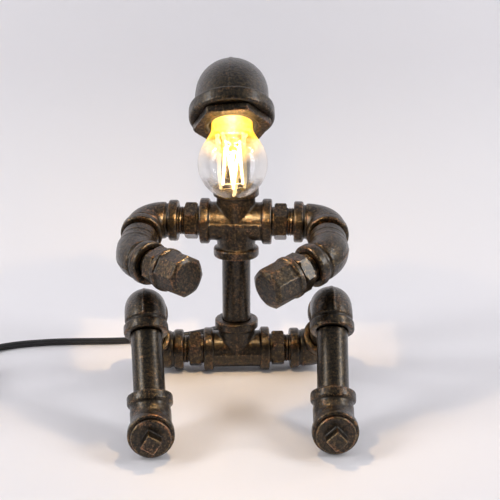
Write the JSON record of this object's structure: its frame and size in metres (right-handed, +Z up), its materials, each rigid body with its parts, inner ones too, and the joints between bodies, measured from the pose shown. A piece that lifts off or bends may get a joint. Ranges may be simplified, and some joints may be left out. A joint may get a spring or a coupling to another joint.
{
  "type": "desk lamp",
  "caption": "Desk lamp shaped like a seated robot, built from threaded iron pipe fittings, with a bulb as its face, turning joints and a corded inline switch.",
  "frame": {"origin": "on the table, under the middle of the lamp without its cord", "axes": "+Z up, the lamp faces -Y, +X to the right of a person who looks at its face"},
  "size_m": [0.3762, 0.2369, 0.2427],
  "materials": {
    "aged_bronze": "cast, dark bronze patina with rubbed copper edges",
    "aged_steel": "turned steel with the same dark bronze patina",
    "holder_black": "satin moulded",
    "sleeve_brass": "plain",
    "bulb_glass": "clear",
    "cap_metal": "rolled",
    "tip_black": "vitrified insulation",
    "filament": "yellow phosphor coat",
    "cord_black": "satin",
    "plastic_black": "satin moulded",
    "pin_metal": "nickel plated"
  },
  "bodies": {
    "pelvis": {"pelvis_tee": "aged_bronze", "hip_nipple_left": "aged_steel", "hip_nipple_right": "aged_steel", "strain_relief": "cord_black", "pelvis_leads": "cord_black", "cord_lead": "cord_black", "switch_case": "plastic_black", "switch_contacts": "sleeve_brass", "cord_link": "cord_black", "cord_coil": "cord_black", "coil_tie": "plastic_black", "cord_tail": "cord_black", "plug_body": "plastic_black", "plug_pins": "pin_metal"},
    "torso": {"spine_pipe": "aged_bronze", "chest_cross": "aged_bronze", "shoulder_nipple_left": "aged_steel", "shoulder_nipple_right": "aged_steel", "torso_leads": "cord_black"},
    "neck": {"neck_pipe": "aged_bronze", "neck_elbow": "aged_bronze", "head_nipple": "aged_steel", "neck_leads": "cord_black"},
    "head": {"head_elbow": "aged_bronze", "head_bushing": "aged_steel", "holder_shell": "holder_black", "holder_sleeve": "sleeve_brass", "holder_contact": "sleeve_brass", "head_leads": "cord_black", "bulb_glass": "bulb_glass", "bulb_cap": "cap_metal", "bulb_tip": "tip_black", "bulb_stem": "bulb_glass", "bulb_filaments": "filament"},
    "switch_rocker": {"switch_rocker": "plastic_black"},
    "upper_arm_left": {"shoulder_elbow_left": "aged_bronze"},
    "forearm_left": {"forearm_left": "aged_bronze", "wrist_nipple_left": "aged_steel", "hand_cap_left": "aged_bronze"},
    "thigh_left": {"hip_elbow_left": "aged_bronze", "thigh_pipe_left": "aged_bronze"},
    "shin_left": {"knee_elbow_left": "aged_bronze", "shin_pipe_left": "aged_bronze", "foot_elbow_left": "aged_bronze", "foot_plug_left": "aged_steel"},
    "upper_arm_right": {"shoulder_elbow_right": "aged_bronze"},
    "forearm_right": {"forearm_right": "aged_bronze", "wrist_nipple_right": "aged_steel", "hand_cap_right": "aged_bronze"},
    "thigh_right": {"hip_elbow_right": "aged_bronze", "thigh_pipe_right": "aged_bronze"},
    "shin_right": {"knee_elbow_right": "aged_bronze", "shin_pipe_right": "aged_bronze", "foot_elbow_right": "aged_bronze", "foot_plug_right": "aged_steel"}
  },
  "joints": [
    {"name": "waist_turn", "type": "hinge", "parent": "pelvis", "child": "torso", "pos_m": [0.0025, 0.06842, 0.0164], "axis": [0, 0, 1], "range_deg": [-40, 40]},
    {"name": "neck_turn", "type": "hinge", "parent": "torso", "child": "neck", "pos_m": [0.0025, 0.06842, 0.1179], "axis": [0, 0, 1], "range_deg": [-50, 50]},
    {"name": "head_turn", "type": "hinge", "parent": "neck", "child": "head", "pos_m": [0.0025, 0.06842, 0.1899], "axis": [-0.0668, -0.7631, 0.6428], "range_deg": [-45, 45]},
    {"name": "shoulder_left_lift", "type": "hinge", "parent": "torso", "child": "upper_arm_left", "pos_m": [-0.06444, 0.07427, 0.1179], "axis": [-0.9962, 0.0872, 0], "range_deg": [-3, 30]},
    {"name": "forearm_left_turn", "type": "hinge", "parent": "upper_arm_left", "child": "forearm_left", "pos_m": [-0.06444, 0.07427, 0.1179], "axis": [-0.0853, -0.9744, -0.2079], "range_deg": [-10, 60]},
    {"name": "hip_left_lift", "type": "hinge", "parent": "pelvis", "child": "thigh_left", "pos_m": [-0.0626, 0.06842, 0.0164], "axis": [-1, 0, 0], "range_deg": [-15, 3]},
    {"name": "knee_left_turn", "type": "hinge", "parent": "thigh_left", "child": "shin_left", "pos_m": [-0.0626, 0.06842, 0.0164], "axis": [0, -0.7071, 0.7071], "range_deg": [-25, 25]},
    {"name": "shoulder_right_lift", "type": "hinge", "parent": "torso", "child": "upper_arm_right", "pos_m": [0.06944, 0.06256, 0.1179], "axis": [-0.9962, 0.0872, 0], "range_deg": [-3, 30]},
    {"name": "forearm_right_turn", "type": "hinge", "parent": "upper_arm_right", "child": "forearm_right", "pos_m": [0.06944, 0.06256, 0.1179], "axis": [0.0861, 0.9839, 0.1564], "range_deg": [-10, 60]},
    {"name": "hip_right_lift", "type": "hinge", "parent": "pelvis", "child": "thigh_right", "pos_m": [0.0676, 0.06842, 0.0164], "axis": [-1, 0, 0], "range_deg": [-15, 3]},
    {"name": "knee_right_turn", "type": "hinge", "parent": "thigh_right", "child": "shin_right", "pos_m": [0.0676, 0.06842, 0.0164], "axis": [0, 0.7071, -0.7071], "range_deg": [-25, 25]},
    {"name": "switch_rock", "type": "hinge", "parent": "pelvis", "child": "switch_rocker", "pos_m": [-0.205, 0.033, 0.012], "axis": [1, 0, 0], "range_deg": [-16, 0]}
  ]
}
